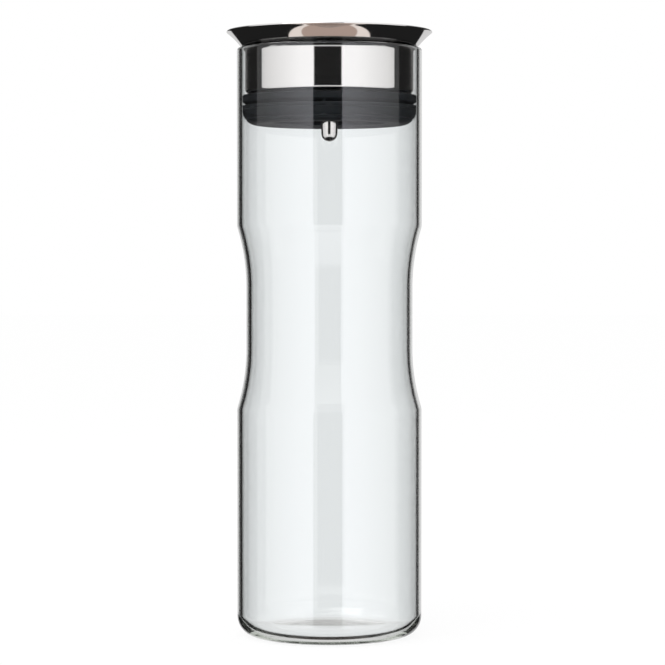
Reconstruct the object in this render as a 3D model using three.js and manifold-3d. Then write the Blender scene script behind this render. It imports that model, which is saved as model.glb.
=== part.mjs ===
// Water carafe: a glass cylinder with a drawn-in waist, closed by a steel pouring lid whose cap tilts open
// by its own weight when the carafe is tipped.
// Millimetres, +Z up. The origin is the centre of the ring that the glass stands on, and it pours towards +X.

import * as THREE from 'three';
import { mergeVertices } from 'three/addons/utils/BufferGeometryUtils.js';
import Module from 'manifold-3d';

const wasm = await Module();
wasm.setup();

// Driving dimensions: fits
const CLEARANCE = 0.3; // between pieces that nest or rest on each other
const SEGMENTS = 36; // sides of the wide round pieces
const STEM_SEGMENTS = 24; // sides of the slim pieces on the axis
const CHORD_ERROR = 0.08; // how far a straight step of an outline may lie off its arc

// Driving dimensions: glass body
const BODY_RADIUS = 47.5;
const GLASS_WALL = 2.5;
const GLASS_HEIGHT = 302.1;
const BASE_THICKNESS = 3.6;
const BASE_CORNER_RADIUS = 10;
const FLOOR_CORNER_RADIUS = 7.5; // inside, where the wall meets the floor
const FOOT_RING_WIDTH = 7;
const BASE_PUSH_UP = 0.8; // hollow of the underside inside the foot ring
const WAIST_MIDDLE = 163.8; // height of the middle of the waist
const WAIST_DEPTH = 4.75;
const WAIST_STRAIGHT = 31;
const WAIST_ARC_RADIUS = 105;
const SHOULDER_RADIUS = 9;

// Driving dimensions: pouring collar
const COLLAR_SHEET = 0.9;
const BAND_GAP = 1.7; // between the steel band and the bore of the glass
const BAND_DEPTH = 23.65; // how far the band reaches below the top of the glass
const BAND_CURL_RADIUS = 2;
const BAND_FLANGE = 3.4; // inward flange at the foot of the band
const LIP_FILLET_RADIUS = 1.8;
const LIP_ANGLE = 43; // degrees from upright
const LIP_OVERHANG = 5.35; // beyond the outside of the glass

// Driving dimensions: funnel liner
const LINER_SHEET = 0.8;
const SEAT_DEPTH = 8; // seat below the top of the glass
const SEAT_BORE_RADIUS = 25.5;
const SEAT_WIDTH = 6;
const SEAT_BEND_RADIUS = 1.2;
const SEAT_LIP_DEPTH = 2.8;
const LINER_RIM = 0.8; // straight rim above the bend
const LINER_BEND_RADIUS = 1.2;

// Driving dimensions: lid core and its seal ring
const CORE_WALL = 3;
const CORE_FLANGE = 2.7; // thickness of the flange under the seat
const CORE_CHAMFER = 0.8;
const SEAL_SECTION_RADIUS = 0.8;
const SEAL_HEIGHT = 6.4; // middle of the seal ring above the foot of the band
const SLEEVE_GROOVE_DEPTH = 1.2;
const SLEEVE_GROOVE_WIDTH = 2.8;
const SLEEVE_GROOVE_HEIGHT = 4.8; // foot of the groove above the foot of the core

// Driving dimensions: stopper sleeve
const SLEEVE_GAP = 0.85; // below the foot of the band
const SLEEVE_HEIGHT = 14.9;
const SLEEVE_FLOOR = 2.8;
const SLEEVE_FLOOR_REACH = 9.5;
const SLEEVE_DISH = 1.6; // rise of the underside towards the opening
const SLEEVE_CORNER_RADIUS = 7;
const SLEEVE_LIP_REACH = 2.8; // lips beyond the root between them
const LIP_NOTCH_HEIGHT = 2; // open edge of the notch between them
const LOWER_LIP_HEIGHT = 2.5; // upright edge of the lower lip
const UPPER_LIP_CHAMFER = 0.5;

// Driving dimensions: tilting cap
const TILT_ANGLE = 10; // degrees from closed to open
const CAP_SHEET = 0.8;
const CAP_MARGIN = 1; // cap edge inside the edge of the seat
const CAP_SKIRT = 2.4; // upright edge of the cap
const CAP_BEND_RADIUS = 1.5;
const CAP_CROWN = 1.6;
const CAP_LIFT = 0.6; // cap edge above the foot of the gasket
const GASKET_WIDTH = 3.9;
const GASKET_HEIGHT = 1.6;
const CARRIER_PLATE = 1.2;
const CARRIER_BOSS_RADIUS = 6.5;
const GUIDE_ARMS = 3;
const GUIDE_ARM_WIDTH = 5;
const GUIDE_ARM_HEIGHT = 2;
const GUIDE_HUB_RADIUS = 7;
const GUIDE_HUB_HEIGHT = 4;
const GUIDE_POST_THICKNESS = 3;
const GUIDE_POST_PLAY = 1.2; // between a post and the bore of the seat
const HOOK_OVERLAP = 0.9; // of a hook under the core flange
const HOOK_STOP_GAP = 1; // left between hook and flange when the cap is open

// Driving dimensions: stem
const BOLT_RADIUS = 2.2;
const BOLT_HEAD_RADIUS = 4.6;
const BOLT_HEAD_HEIGHT = 1.6;
const WASHER_RADIUS = 5;
const WASHER_THICKNESS = 0.8;
const PIN_RADIUS = 4.15; // of its round end
const PIN_LENGTH = 25.3;
const PIN_TAPER = 3; // degrees, wider towards the lid
const PIN_BORE_DEPTH = 12;
const BOLT_END_GAP = 0.8; // between the bolt and the end of the bore in the pin

// Radii and heights that follow from them
const boreRadius = BODY_RADIUS - GLASS_WALL;
const bandRadius = boreRadius - BAND_GAP;
const bandInside = bandRadius - COLLAR_SHEET;
const bandFoot = GLASS_HEIGHT - BAND_DEPTH;
const flangeBore = bandRadius - BAND_FLANGE;

const linerRadius = bandInside - CLEARANCE;
const linerInside = linerRadius - LINER_SHEET;
const seatHeight = GLASS_HEIGHT - SEAT_DEPTH;
const seatEdge = SEAT_BORE_RADIUS + SEAT_WIDTH;

const sleeveTop = bandFoot - SLEEVE_GAP;
const sleeveFoot = sleeveTop - SLEEVE_HEIGHT;
const sleeveFloorTop = sleeveFoot + SLEEVE_FLOOR;

const coreRadius = bandInside - CLEARANCE;
const barrelRadius = flangeBore - CLEARANCE;
const barrelInside = barrelRadius - CORE_WALL;
const coreFoot = sleeveFloorTop + CLEARANCE;
const coreShoulder = bandFoot + COLLAR_SHEET + CLEARANCE;
const coreTop = seatHeight - LINER_SHEET - CLEARANCE;
const coreFlangeFoot = coreTop - CORE_FLANGE;
const coreBore = SEAT_BORE_RADIUS + LINER_SHEET + CLEARANCE;
const sealHeight = bandFoot + SEAL_HEIGHT;
const grooveFoot = coreFoot + SLEEVE_GROOVE_HEIGHT;

const gasketFoot = seatHeight + CLEARANCE;
const capRadius = seatEdge - CAP_MARGIN;
const gasketRadius = capRadius - CAP_SHEET - CLEARANCE;
const gasketInside = gasketRadius - GASKET_WIDTH;
const plateFoot = gasketFoot + GASKET_HEIGHT + CLEARANCE;
const plateTop = plateFoot + CARRIER_PLATE;
const spigotFoot = gasketFoot + CLEARANCE;
const boltBore = BOLT_RADIUS + CLEARANCE;
const washerFoot = plateTop - WASHER_THICKNESS - CLEARANCE;
const headFoot = washerFoot + WASHER_THICKNESS + CLEARANCE;

// The cap turns about the rear edge of its gasket. The hooks hang as far below the flange as they rise.
const hookRadius = coreBore + HOOK_OVERLAP;
const frontArmReach = hookRadius * Math.cos(Math.PI / GUIDE_ARMS);
const hookRise = (gasketRadius + frontArmReach) * Math.sin(THREE.MathUtils.degToRad(TILT_ANGLE));
const hookTop = coreFlangeFoot - hookRise - HOOK_STOP_GAP;
const hubFoot = hookTop - GUIDE_ARM_HEIGHT;
const hubTop = hubFoot + GUIDE_HUB_HEIGHT;
const bossFoot = hubTop + CLEARANCE;
const pinTop = hubFoot - CLEARANCE;
const pinBoreEnd = pinTop - PIN_BORE_DEPTH;

/** A point of an outline in the plane of radius and height. */
function at(radius, height) {
  return new THREE.Vector2(radius, height);
}

/** Points along a circular arc of an outline, both ends included. Angles are in degrees from outwards. */
function arc(centreRadius, centreHeight, radius, fromAngle, toAngle) {
  const sweep = THREE.MathUtils.degToRad(toAngle - fromAngle);
  const widestStep = 2 * Math.acos(Math.max(-1, 1 - CHORD_ERROR / radius));
  const steps = Math.ceil(Math.abs(sweep) / widestStep);
  return Array.from({ length: steps + 1 }, (_, step) => {
    const angle = THREE.MathUtils.degToRad(fromAngle) + (sweep * step) / steps;
    return at(centreRadius + radius * Math.cos(angle), centreHeight + radius * Math.sin(angle));
  });
}

/** One outline from points and runs of points, without the points where two runs meet twice. */
function outline(...runs) {
  const same = 1e-6;
  return runs.flat().filter((point, i, all) => i === 0 || point.distanceTo(all[i - 1]) > same);
}

/** A body of revolution. An outline that starts away from the axis is closed on itself. */
function turned(points, segments = SEGMENTS) {
  const onAxis = 1e-6;
  const closed = points[0].x > onAxis ? [...points, points[0]] : points;
  return new THREE.LatheGeometry(closed, segments).rotateX(Math.PI / 2);
}

/** A closed geometry as a solid that can be joined and cut. */
function solid(geometry) {
  const bare = geometry.clone();
  bare.deleteAttribute('normal');
  bare.deleteAttribute('uv');
  const merged = mergeVertices(bare);
  return new wasm.Manifold(
    new wasm.Mesh({
      numProp: 3,
      vertProperties: merged.attributes.position.array,
      triVerts: new Uint32Array(merged.index.array),
    }),
  );
}

/** The geometry of a joined or cut solid. */
function geometryOf(body) {
  const { vertProperties, triVerts } = body.getMesh();
  const geometry = new THREE.BufferGeometry();
  geometry.setAttribute('position', new THREE.BufferAttribute(vertProperties, 3));
  geometry.setIndex(new THREE.BufferAttribute(triVerts, 1));
  geometry.computeVertexNormals();
  return geometry;
}

/** A block between two radii along +X, between two heights, as wide as a guide arm. */
function radialBlock(fromRadius, toRadius, foot, top) {
  const block = new THREE.BoxGeometry(toRadius - fromRadius, GUIDE_ARM_WIDTH, top - foot);
  return block.translate((fromRadius + toRadius) / 2, 0, (foot + top) / 2);
}

/** The waist of the glass from bottom to top, on a surface set in from the outside of the wall. */
function waistOutline(inset) {
  const reach = WAIST_ARC_RADIUS + SHOULDER_RADIUS;
  const shoulderAngle = THREE.MathUtils.radToDeg(Math.acos((reach - WAIST_DEPTH) / reach));
  const arcStart = WAIST_STRAIGHT / 2;
  const shoulderStart = arcStart + Math.sqrt(reach ** 2 - (reach - WAIST_DEPTH) ** 2);
  const arcCentre = BODY_RADIUS - WAIST_DEPTH + WAIST_ARC_RADIUS;
  const lowerHalf = outline(
    arc(BODY_RADIUS - SHOULDER_RADIUS, -shoulderStart, SHOULDER_RADIUS - inset, 0, shoulderAngle),
    arc(arcCentre, -arcStart, WAIST_ARC_RADIUS + inset, 180 + shoulderAngle, 180),
  );
  const upperHalf = lowerHalf.map((point) => at(point.x, -point.y)).reverse();
  return outline(lowerHalf, upperHalf).map((point) => at(point.x, WAIST_MIDDLE + point.y));
}

function glassBody() {
  const footEdge = BODY_RADIUS - BASE_CORNER_RADIUS;
  const hollowRadius = footEdge - FOOT_RING_WIDTH;
  const hollowCurve = (hollowRadius ** 2 + BASE_PUSH_UP ** 2) / (2 * BASE_PUSH_UP);
  const hollowAngle = THREE.MathUtils.radToDeg(Math.acos(hollowRadius / hollowCurve));
  const rimRound = GLASS_WALL / 2;
  const floorCorner = boreRadius - FLOOR_CORNER_RADIUS;
  return turned(
    outline(
      arc(0, BASE_PUSH_UP - hollowCurve, hollowCurve, 90, hollowAngle),
      arc(footEdge, BASE_CORNER_RADIUS, BASE_CORNER_RADIUS, -90, 0),
      waistOutline(0),
      arc(BODY_RADIUS - rimRound, GLASS_HEIGHT - rimRound, rimRound, 0, 180),
      waistOutline(GLASS_WALL).reverse(),
      arc(floorCorner, BASE_THICKNESS + FLOOR_CORNER_RADIUS, FLOOR_CORNER_RADIUS, 0, -90),
      at(0, BASE_THICKNESS),
    ),
  );
}

/** Where the band of the collar ends and the fillet under its pouring lip starts. */
function lipFilletStart() {
  const angle = THREE.MathUtils.degToRad(LIP_ANGLE);
  const rimRound = GLASS_WALL / 2;
  const rimRadius = BODY_RADIUS - rimRound;
  const overRim = rimRound + CLEARANCE - LIP_FILLET_RADIUS;
  const sideways = bandRadius + LIP_FILLET_RADIUS - rimRadius;
  return GLASS_HEIGHT - rimRound + (overRim + sideways * Math.cos(angle)) / Math.sin(angle);
}

/** Steel band inside the neck, with a lip that flares out over the rim of the glass. */
function pouringCollar() {
  const halfSheet = COLLAR_SHEET / 2;
  const filletRadius = bandRadius + LIP_FILLET_RADIUS;
  const filletHeight = lipFilletStart();
  const edgeRadius = BODY_RADIUS + LIP_OVERHANG - halfSheet;
  const lipAngle = THREE.MathUtils.degToRad(LIP_ANGLE);
  const sideways = edgeRadius - filletRadius + (LIP_FILLET_RADIUS + halfSheet) * Math.cos(lipAngle);
  const rise = (LIP_FILLET_RADIUS + halfSheet) * Math.sin(lipAngle);
  const edgeHeight = filletHeight + rise + sideways / Math.tan(lipAngle);
  const curlRadius = bandRadius - BAND_CURL_RADIUS;
  const curlHeight = bandFoot + BAND_CURL_RADIUS;
  return turned(
    outline(
      at(flangeBore, bandFoot),
      arc(curlRadius, curlHeight, BAND_CURL_RADIUS, -90, 0),
      arc(filletRadius, filletHeight, LIP_FILLET_RADIUS, 180, 180 - LIP_ANGLE),
      arc(edgeRadius, edgeHeight, halfSheet, -LIP_ANGLE, 180 - LIP_ANGLE),
      arc(filletRadius, filletHeight, LIP_FILLET_RADIUS + COLLAR_SHEET, 180 - LIP_ANGLE, 180),
      arc(curlRadius, curlHeight, BAND_CURL_RADIUS - COLLAR_SHEET, 0, -90),
      at(flangeBore, bandFoot + COLLAR_SHEET),
    ),
  );
}

/** Pressed dish that leads to the pouring hole and gives the cap its seat. */
function funnelLiner() {
  const bendRadius = linerInside - LINER_BEND_RADIUS;
  const rimTop = lipFilletStart();
  const bendHeight = rimTop - LINER_RIM;
  const toBend = at(bendRadius - seatEdge, bendHeight - seatHeight);
  const slope = toBend.angle() - Math.asin(LINER_BEND_RADIUS / toBend.length());
  const slopeAngle = THREE.MathUtils.radToDeg(slope);
  const lipBend = SEAT_BORE_RADIUS + SEAT_BEND_RADIUS;
  const lipBendHeight = seatHeight - SEAT_BEND_RADIUS;
  const lipFoot = seatHeight - SEAT_LIP_DEPTH;
  const seatUnderEdge = seatEdge + LINER_SHEET * Math.tan(slope / 2);
  return turned(
    outline(
      at(SEAT_BORE_RADIUS + LINER_SHEET, lipFoot),
      arc(lipBend, lipBendHeight, SEAT_BEND_RADIUS - LINER_SHEET, 180, 90),
      at(seatUnderEdge, seatHeight - LINER_SHEET),
      arc(bendRadius, bendHeight, LINER_BEND_RADIUS + LINER_SHEET, slopeAngle - 90, 0),
      at(linerRadius, rimTop),
      at(linerInside, rimTop),
      arc(bendRadius, bendHeight, LINER_BEND_RADIUS, 0, slopeAngle - 90),
      at(seatEdge, seatHeight),
      arc(lipBend, lipBendHeight, SEAT_BEND_RADIUS, 90, 180),
      at(SEAT_BORE_RADIUS, lipFoot),
    ),
  );
}

/** Moulded barrel that carries the sleeve below, the collar round it and the seat on top. */
function lidCore() {
  const grooveTop = grooveFoot + SLEEVE_GROOVE_WIDTH;
  const sleeveGroove = barrelRadius - SLEEVE_GROOVE_DEPTH;
  const sealGroove = coreRadius - 2 * SEAL_SECTION_RADIUS - CLEARANCE;
  const sealGrooveHalf = SEAL_SECTION_RADIUS + CLEARANCE;
  return turned(
    outline(
      at(barrelInside, coreFoot),
      at(barrelRadius, coreFoot),
      at(barrelRadius, grooveFoot),
      at(sleeveGroove, grooveFoot),
      at(sleeveGroove, grooveTop),
      at(barrelRadius, grooveTop),
      at(barrelRadius, coreShoulder),
      at(coreRadius - CORE_CHAMFER, coreShoulder),
      at(coreRadius, coreShoulder + CORE_CHAMFER),
      at(coreRadius, sealHeight - sealGrooveHalf),
      at(sealGroove, sealHeight - sealGrooveHalf),
      at(sealGroove, sealHeight + sealGrooveHalf),
      at(coreRadius, sealHeight + sealGrooveHalf),
      at(coreRadius, coreTop),
      at(coreBore, coreTop),
      at(coreBore, coreFlangeFoot),
      at(barrelInside, coreFlangeFoot),
    ),
  );
}

/** Seal between the core and the steel band. */
function collarSealRing() {
  const section = arc(coreRadius - SEAL_SECTION_RADIUS, sealHeight, SEAL_SECTION_RADIUS, 0, 360);
  return turned(section.slice(0, -1));
}

/** Soft stopper with two lips that grip the bore of the glass. */
function stopperSleeve() {
  const lipRadius = boreRadius - CLEARANCE;
  const rootRadius = lipRadius - SLEEVE_LIP_REACH;
  const insideRadius = barrelRadius + CLEARANCE;
  const beadRadius = insideRadius - SLEEVE_GROOVE_DEPTH;
  const beadFoot = grooveFoot + CLEARANCE;
  const beadTop = grooveFoot + SLEEVE_GROOVE_WIDTH - CLEARANCE;
  const cornerHeight = sleeveFoot + SLEEVE_CORNER_RADIUS;
  const rootHeight = cornerHeight + LOWER_LIP_HEIGHT;
  const floorInside = insideRadius - SLEEVE_FLOOR_REACH;
  return turned(
    outline(
      at(floorInside, sleeveFoot + SLEEVE_DISH),
      arc(lipRadius - SLEEVE_CORNER_RADIUS, cornerHeight, SLEEVE_CORNER_RADIUS, -90, 0),
      at(lipRadius, rootHeight),
      at(rootRadius, rootHeight),
      at(lipRadius, rootHeight + LIP_NOTCH_HEIGHT),
      at(lipRadius, sleeveTop - UPPER_LIP_CHAMFER),
      at(lipRadius - UPPER_LIP_CHAMFER, sleeveTop),
      at(insideRadius, sleeveTop),
      at(insideRadius, beadTop),
      at(beadRadius, beadTop),
      at(beadRadius, beadFoot),
      at(insideRadius, beadFoot),
      at(insideRadius, sleeveFloorTop),
      at(floorInside, sleeveFloorTop),
    ),
  );
}

/** Domed steel cover of the tilting cap. */
function closingCap() {
  const edgeFoot = gasketFoot + CAP_LIFT;
  const bendRadius = capRadius - CAP_BEND_RADIUS;
  const bendHeight = edgeFoot + CAP_SKIRT;
  const domeFoot = bendHeight + CAP_BEND_RADIUS;
  const domeCurve = (bendRadius ** 2 + CAP_CROWN ** 2) / (2 * CAP_CROWN);
  const domeAngle = THREE.MathUtils.radToDeg(Math.acos(bendRadius / domeCurve));
  const domeCentre = domeFoot + CAP_CROWN - domeCurve;
  return turned(
    outline(
      arc(0, domeCentre, domeCurve - CAP_SHEET, 90, domeAngle),
      arc(bendRadius, bendHeight, CAP_BEND_RADIUS - CAP_SHEET, 90, 0),
      at(capRadius - CAP_SHEET, edgeFoot),
      at(capRadius, edgeFoot),
      arc(bendRadius, bendHeight, CAP_BEND_RADIUS, 0, 90),
      arc(0, domeCentre, domeCurve, domeAngle, 90),
    ),
  );
}

/** Moulded plate under the cap, with the spigot for the gasket and the boss for the stem. */
function capCarrier() {
  const spigotRadius = gasketInside - CLEARANCE;
  const recessRadius = WASHER_RADIUS + CLEARANCE;
  const recessFloor = washerFoot - CLEARANCE;
  return turned(
    outline(
      at(boltBore, bossFoot),
      at(CARRIER_BOSS_RADIUS, bossFoot),
      at(CARRIER_BOSS_RADIUS, spigotFoot),
      at(spigotRadius, spigotFoot),
      at(spigotRadius, plateFoot),
      at(gasketRadius, plateFoot),
      at(gasketRadius, plateTop),
      at(recessRadius, plateTop),
      at(recessRadius, recessFloor),
      at(boltBore, recessFloor),
    ),
  );
}

/** Soft ring that closes the cap on its seat. */
function discGasket() {
  return turned([
    at(gasketInside, gasketFoot),
    at(gasketRadius, gasketFoot),
    at(gasketRadius, gasketFoot + GASKET_HEIGHT),
    at(gasketInside, gasketFoot + GASKET_HEIGHT),
  ]);
}

/** Arms whose posts centre the cap in the seat and whose hooks stop it under the core flange. */
function guideSpider() {
  const postOutside = SEAT_BORE_RADIUS - GUIDE_POST_PLAY;
  const postInside = postOutside - GUIDE_POST_THICKNESS;
  const hub = turned([
    at(boltBore, hubFoot),
    at(GUIDE_HUB_RADIUS, hubFoot),
    at(GUIDE_HUB_RADIUS, hubTop),
    at(boltBore, hubTop),
  ], STEM_SEGMENTS);
  const armStart = (boltBore + GUIDE_HUB_RADIUS) / 2;
  let spider = solid(hub);
  for (let arm = 0; arm < GUIDE_ARMS; arm += 1) {
    const turn = ((2 * arm + 1) * Math.PI) / GUIDE_ARMS;
    const bar = radialBlock(armStart, hookRadius, hubFoot, hookTop).rotateZ(turn);
    const post = radialBlock(postInside, postOutside, hubFoot, seatHeight - CLEARANCE).rotateZ(turn);
    spider = spider.add(solid(bar)).add(solid(post));
  }
  return geometryOf(spider);
}

function stemBolt() {
  return turned(
    outline(
      at(0, pinBoreEnd + BOLT_END_GAP),
      at(BOLT_RADIUS, pinBoreEnd + BOLT_END_GAP),
      at(BOLT_RADIUS, headFoot),
      at(BOLT_HEAD_RADIUS, headFoot),
      at(BOLT_HEAD_RADIUS, headFoot + BOLT_HEAD_HEIGHT),
      at(0, headFoot + BOLT_HEAD_HEIGHT),
    ),
    STEM_SEGMENTS,
  );
}

function stemWasher() {
  return turned([
    at(boltBore, washerFoot),
    at(WASHER_RADIUS, washerFoot),
    at(WASHER_RADIUS, washerFoot + WASHER_THICKNESS),
    at(boltBore, washerFoot + WASHER_THICKNESS),
  ], STEM_SEGMENTS);
}

/** Weight that hangs below the lid, with a round end. It is screwed onto the bolt. */
function counterweightPin() {
  const taper = THREE.MathUtils.degToRad(PIN_TAPER);
  const pinTopRadius = PIN_RADIUS / Math.cos(taper) + (PIN_LENGTH - PIN_RADIUS) * Math.tan(taper);
  return turned(
    outline(
      arc(0, pinTop - PIN_LENGTH + PIN_RADIUS, PIN_RADIUS, -90, -PIN_TAPER),
      at(pinTopRadius, pinTop),
      at(boltBore, pinTop),
      at(boltBore, pinBoreEnd),
      at(0, pinBoreEnd),
    ),
    STEM_SEGMENTS,
  );
}

const FINISHES = {
  clearGlass: { color: 0xe9eff0, roughness: 0.03, metalness: 0, transparent: true, opacity: 0.35 },
  polishedSteel: { color: 0xcfcbc6, roughness: 0.08, metalness: 1 },
  blackSilicone: { color: 0x1d1f24, roughness: 0.6, metalness: 0 },
  blackPlastic: { color: 0x18191b, roughness: 0.45, metalness: 0 },
};

/** A named sub-part with a material of its own. */
function piece(name, geometry, finish) {
  const mesh = new THREE.Mesh(geometry, new THREE.MeshStandardMaterial(FINISHES[finish]));
  mesh.name = name;
  return mesh;
}

const vessel = new THREE.Group();
vessel.add(piece('glass_body', glassBody(), 'clearGlass'));

const closure = new THREE.Group();
closure.add(
  piece('closing_cap', closingCap(), 'polishedSteel'),
  piece('cap_carrier', capCarrier(), 'blackPlastic'),
  piece('disc_gasket', discGasket(), 'blackSilicone'),
  piece('guide_spider', guideSpider(), 'blackPlastic'),
  piece('stem_bolt', stemBolt(), 'polishedSteel'),
  piece('stem_washer', stemWasher(), 'polishedSteel'),
  piece('counterweight_pin', counterweightPin(), 'polishedSteel'),
);

const lid = new THREE.Group();
lid.add(
  piece('pouring_collar', pouringCollar(), 'polishedSteel'),
  piece('funnel_liner', funnelLiner(), 'polishedSteel'),
  piece('lid_core', lidCore(), 'blackPlastic'),
  piece('collar_seal_ring', collarSealRing(), 'blackSilicone'),
  piece('stopper_sleeve', stopperSleeve(), 'blackSilicone'),
  closure,
);

const carafe = new THREE.Group();
carafe.add(vessel, lid);

export default carafe;
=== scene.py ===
"""Looks of a glass water carafe with a steel pouring lid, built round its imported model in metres, +Z up."""

import logging
import math
from dataclasses import astuple, dataclass, field
from enum import Enum
from typing import Iterable

import bmesh
import bpy
from mathutils import Matrix, Vector


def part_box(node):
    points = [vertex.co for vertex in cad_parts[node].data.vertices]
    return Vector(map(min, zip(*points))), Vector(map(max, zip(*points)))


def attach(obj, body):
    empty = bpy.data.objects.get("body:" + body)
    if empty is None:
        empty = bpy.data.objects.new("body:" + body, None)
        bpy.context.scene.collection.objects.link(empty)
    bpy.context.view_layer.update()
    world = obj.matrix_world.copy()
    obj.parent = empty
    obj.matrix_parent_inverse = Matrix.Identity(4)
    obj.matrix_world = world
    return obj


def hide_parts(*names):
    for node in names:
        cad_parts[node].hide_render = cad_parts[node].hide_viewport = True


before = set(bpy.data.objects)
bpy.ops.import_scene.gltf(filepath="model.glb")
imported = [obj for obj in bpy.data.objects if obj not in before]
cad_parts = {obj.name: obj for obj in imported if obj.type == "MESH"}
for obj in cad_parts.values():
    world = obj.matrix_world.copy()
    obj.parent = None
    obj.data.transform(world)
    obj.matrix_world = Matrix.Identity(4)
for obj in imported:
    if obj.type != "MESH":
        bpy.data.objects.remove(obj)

LOG = logging.getLogger("carafe")

MM = 0.001

# Fineness of the turned meshes
GLASS_STEPS = 256
TURN_STEPS = 192
STEM_STEPS = 64
CHORD_ERROR = 0.006 * MM
FINE_CHORD_ERROR = 0.001 * MM
LONGEST_CHORD = 1.0 * MM
MERGE_DISTANCE = 0.0005 * MM

# Extra points that keep the shading of a straight run flat
GUARD_DISTANCE = 0.15 * MM
GUARDED_RUN = 1.2 * MM
RUN_PER_GUARD = 4

Socket = bpy.types.NodeSocket
Node = bpy.types.Node
NodeTree = bpy.types.NodeTree
Material = bpy.types.Material
Piece = bpy.types.Object
Colour = tuple[float, float, float, float]
Point = tuple[float, float]

WHITE: Colour = (1.0, 1.0, 1.0, 1.0)


class Body(Enum):
    """The rigid bodies that a piece can ride on."""

    VESSEL = "vessel"
    LID = "lid"
    CLOSURE = "closure"


class Slot(Enum):
    """The record's material slots."""

    GLASS = "clear_glass"
    STEEL = "polished_steel"
    SILICONE = "black_silicone"
    PLASTIC = "black_plastic"


Finishes = dict[Slot, Material]


@dataclass(frozen=True)
class Ramp:
    """A change from one value to another between two points, held outside them."""

    low: float
    high: float
    start: float = 0.0
    end: float = 1.0


class NodeSheet:
    """A node tree that is filled node by node."""

    def __init__(self, tree: NodeTree) -> None:
        """Empties the node tree of a material, a world or a group."""
        self.tree = tree
        tree.nodes.clear()

    def add(self, kind: str, settings: dict | None = None, **inputs: object) -> Node:
        """Adds a node.

        Args:
            kind: The node's type without its ShaderNode prefix.
            settings: Attributes to set on the node.
            inputs: Values or output sockets by input name, with underscores for blanks, or by place as i0.

        Returns:
            The new node.
        """
        prefix = "" if kind.startswith("NodeGroup") else "ShaderNode"
        node = self.tree.nodes.new(prefix + kind)
        for name, value in (settings or {}).items():
            setattr(node, name, value)
        for name, value in inputs.items():
            by_place = name[0] == "i" and name[1:].isdigit()
            socket = node.inputs[int(name[1:])] if by_place else node.inputs[name.replace("_", " ")]
            if isinstance(value, Socket):
                self.tree.links.new(value, socket)
            else:
                socket.default_value = value
        return node

    def link(self, source: Socket, node: Node, name: str) -> None:
        """Links an output socket to a node's named input."""
        self.tree.links.new(source, node.inputs[name])

    def math(self, operation: str, *values: object) -> Socket:
        """Adds Math nodes that join values from left to right.

        Args:
            operation: The nodes' operation.
            values: One value or socket, or several.

        Returns:
            The result's socket.
        """
        result = values[0]
        for value in values[1:] or (0.0,):
            result = self.add("Math", {"operation": operation}, i0=result, i1=value).outputs[0]
        return result

    def span(self, value: Socket, low: object, high: object, start: object = 0.0, end: object = 1.0,
             smooth: bool = False) -> Socket:
        """Maps low to start and high to end, held at both ends and eased between them if smooth."""
        settings = {"interpolation_type": "SMOOTHSTEP" if smooth else "LINEAR"}
        return self.add("MapRange", settings, i0=value, i1=low, i2=high, i3=start, i4=end).outputs[0]

    def ramp(self, value: Socket, ramp: Ramp) -> Socket:
        """Maps a value by a ramp."""
        return self.span(value, *astuple(ramp))

    def blend(self, amount: Socket, first: object, second: object) -> Socket:
        """Mixes two colours or their sockets, with the amount as the share of the second."""
        return self.add("Mix", {"data_type": "RGBA"}, i0=amount, i6=first, i7=second).outputs[2]

    def tinted(self, colour: object, level: Socket) -> Socket:
        """Multiplies a colour, or its socket, by a brightness."""
        tint = colour if isinstance(colour, Socket) else colour[:3]
        return self.add("VectorMath", {"operation": "SCALE"}, i0=tint, i3=level).outputs[0]

    def coordinates(self) -> Socket:
        """Adds the object's own coordinates."""
        return self.add("TexCoord").outputs["Object"]

    def noise(self, place: Socket, scale: object, detail: float, roughness: float = 0.5) -> Socket:
        """Adds a noise in space, of about 0 to 1."""
        inputs = {"Vector": place, "Scale": scale, "Detail": detail, "Roughness": roughness}
        return self.add("TexNoise", {"noise_dimensions": "3D"}, **inputs).outputs[0]


class GroupSheet(NodeSheet):
    """A new shader node group with its input and output nodes."""

    def __init__(self, name: str, inputs: Iterable[str], outputs: Iterable[str]) -> None:
        """Makes the group with its sockets.

        Args:
            name: The group's name.
            inputs: Names of its value inputs.
            outputs: Names of its value outputs.
        """
        super().__init__(bpy.data.node_groups.new(name, "ShaderNodeTree"))
        for way, names in (("INPUT", inputs), ("OUTPUT", outputs)):
            for socket in names:
                self.tree.interface.new_socket(name=socket, in_out=way, socket_type="NodeSocketFloat")
        self.given = self.add("NodeGroupInput").outputs
        self.result = self.add("NodeGroupOutput")


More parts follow.
